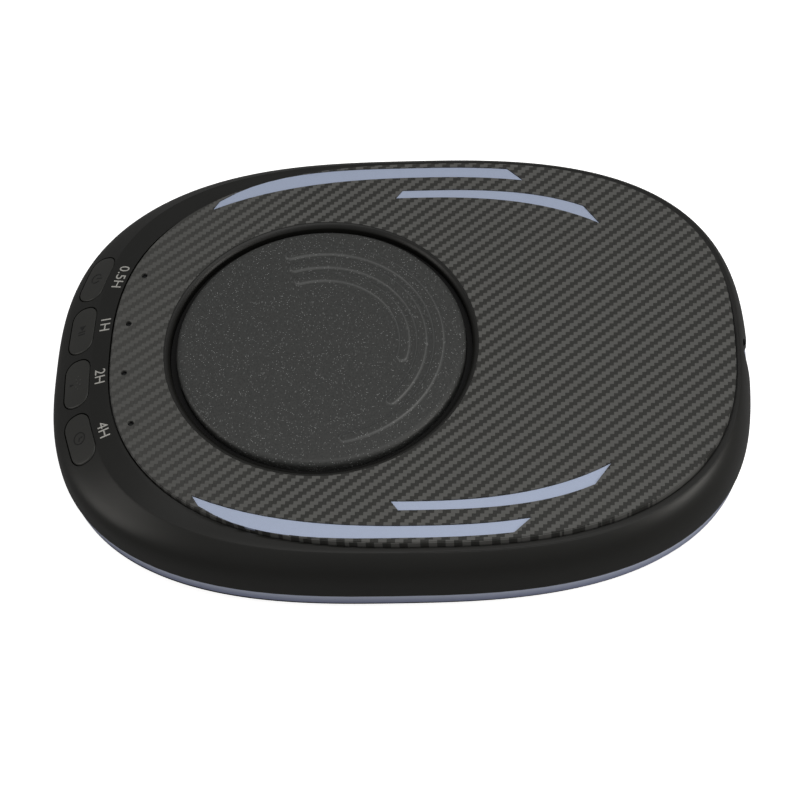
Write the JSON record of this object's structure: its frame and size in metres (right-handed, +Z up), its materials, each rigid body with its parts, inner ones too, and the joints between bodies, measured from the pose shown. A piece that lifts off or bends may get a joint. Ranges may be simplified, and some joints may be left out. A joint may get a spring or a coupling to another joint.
{
  "type": "hot stone heater",
  "caption": "Low oval massage stone warmer: ribbed round hot plate in an inlaid woven-pattern panel, four rocker-shaped keys on the front shoulder, power inlet at the rear.",
  "frame": {"origin": "centre of the bounding box on the surface the feet stand on", "axes": "+X to the right of someone at the keys, +Y from the keys to the power inlet, +Z up, out of the hot plate"},
  "size_m": [0.218, 0.2949, 0.0432],
  "materials": {
    "shell_black": "satin",
    "base_black": "matte",
    "panel_weave": "woven pattern under a satin coat",
    "strip_blue": "metallic satin",
    "trim_blue": "metallic satin",
    "plate_black": "sparkling non-stick coat",
    "key_black": "satin",
    "rubber_black": "matte",
    "steel": "zinc plated",
    "sheet_aluminium": "mill",
    "mica": "mica with a wire track",
    "fibre": "ceramic fibre felt",
    "phenolic_black": "gloss",
    "board_green": "solder resist",
    "component_white": "satin",
    "clear": "clear",
    "copper_yellow": "taped winding",
    "component_blue": "gloss",
    "brass": "bright",
    "wire_red": "silicone",
    "wire_brown": "satin",
    "wire_grey": "satin"
  },
  "bodies": {
    "housing": {"top_shell": "shell_black", "inlaid_panel": "panel_weave", "accent_strip_left_outer": "strip_blue", "accent_strip_left_inner": "strip_blue", "accent_strip_right_outer": "strip_blue", "accent_strip_right_inner": "strip_blue", "trim_band": "trim_blue", "bottom_shell": "base_black", "rubber_feet": "rubber_black", "housing_screws": "steel", "hot_plate": "plate_black", "plate_gasket": "rubber_black", "plate_retainer": "sheet_aluminium", "retainer_screws": "steel", "heater_disc": "mica", "insulation_disc": "fibre", "pressure_plate": "sheet_aluminium", "plate_screws": "steel", "thermostat": "phenolic_black", "thermal_fuse": "brass", "temperature_probe": "steel", "heat_shield": "sheet_aluminium", "shield_screws": "steel", "key_switches": "phenolic_black", "control_board": "board_green", "control_screws": "steel", "lamp_board": "board_green", "lamp_screws": "steel", "lamps": "component_white", "light_pipes": "clear", "power_board": "board_green", "power_board_screws": "steel", "transformer": "copper_yellow", "capacitor": "component_blue", "relay": "component_blue", "terminal_block": "board_green", "mains_connector": "component_white", "power_inlet": "phenolic_black", "inlet_pins": "steel", "heater_leads": "wire_red", "inlet_leads": "wire_brown", "signal_cable": "wire_grey"},
    "power_key_body": {"power_key": "key_black", "power_plunger": "component_white"},
    "pause_key_body": {"pause_key": "key_black", "pause_plunger": "component_white"},
    "heat_key_body": {"heat_key": "key_black", "heat_plunger": "component_white"},
    "timer_key_body": {"timer_key": "key_black", "timer_plunger": "component_white"}
  },
  "joints": [
    {"name": "power_key_press", "type": "slide", "parent": "housing", "child": "power_key_body", "axis": [0, -0.4848, 0.8746], "range_m": [-0.0005, 0], "stiffness_N_per_m": 2000, "springref_m": 0.0002},
    {"name": "pause_key_press", "type": "slide", "parent": "housing", "child": "pause_key_body", "axis": [0, -0.4848, 0.8746], "range_m": [-0.0005, 0], "stiffness_N_per_m": 2000, "springref_m": 0.0002},
    {"name": "heat_key_press", "type": "slide", "parent": "housing", "child": "heat_key_body", "axis": [0, -0.4848, 0.8746], "range_m": [-0.0005, 0], "stiffness_N_per_m": 2000, "springref_m": 0.0002},
    {"name": "timer_key_press", "type": "slide", "parent": "housing", "child": "timer_key_body", "axis": [0, -0.4848, 0.8746], "range_m": [-0.0005, 0], "stiffness_N_per_m": 2000, "springref_m": 0.0002}
  ]
}
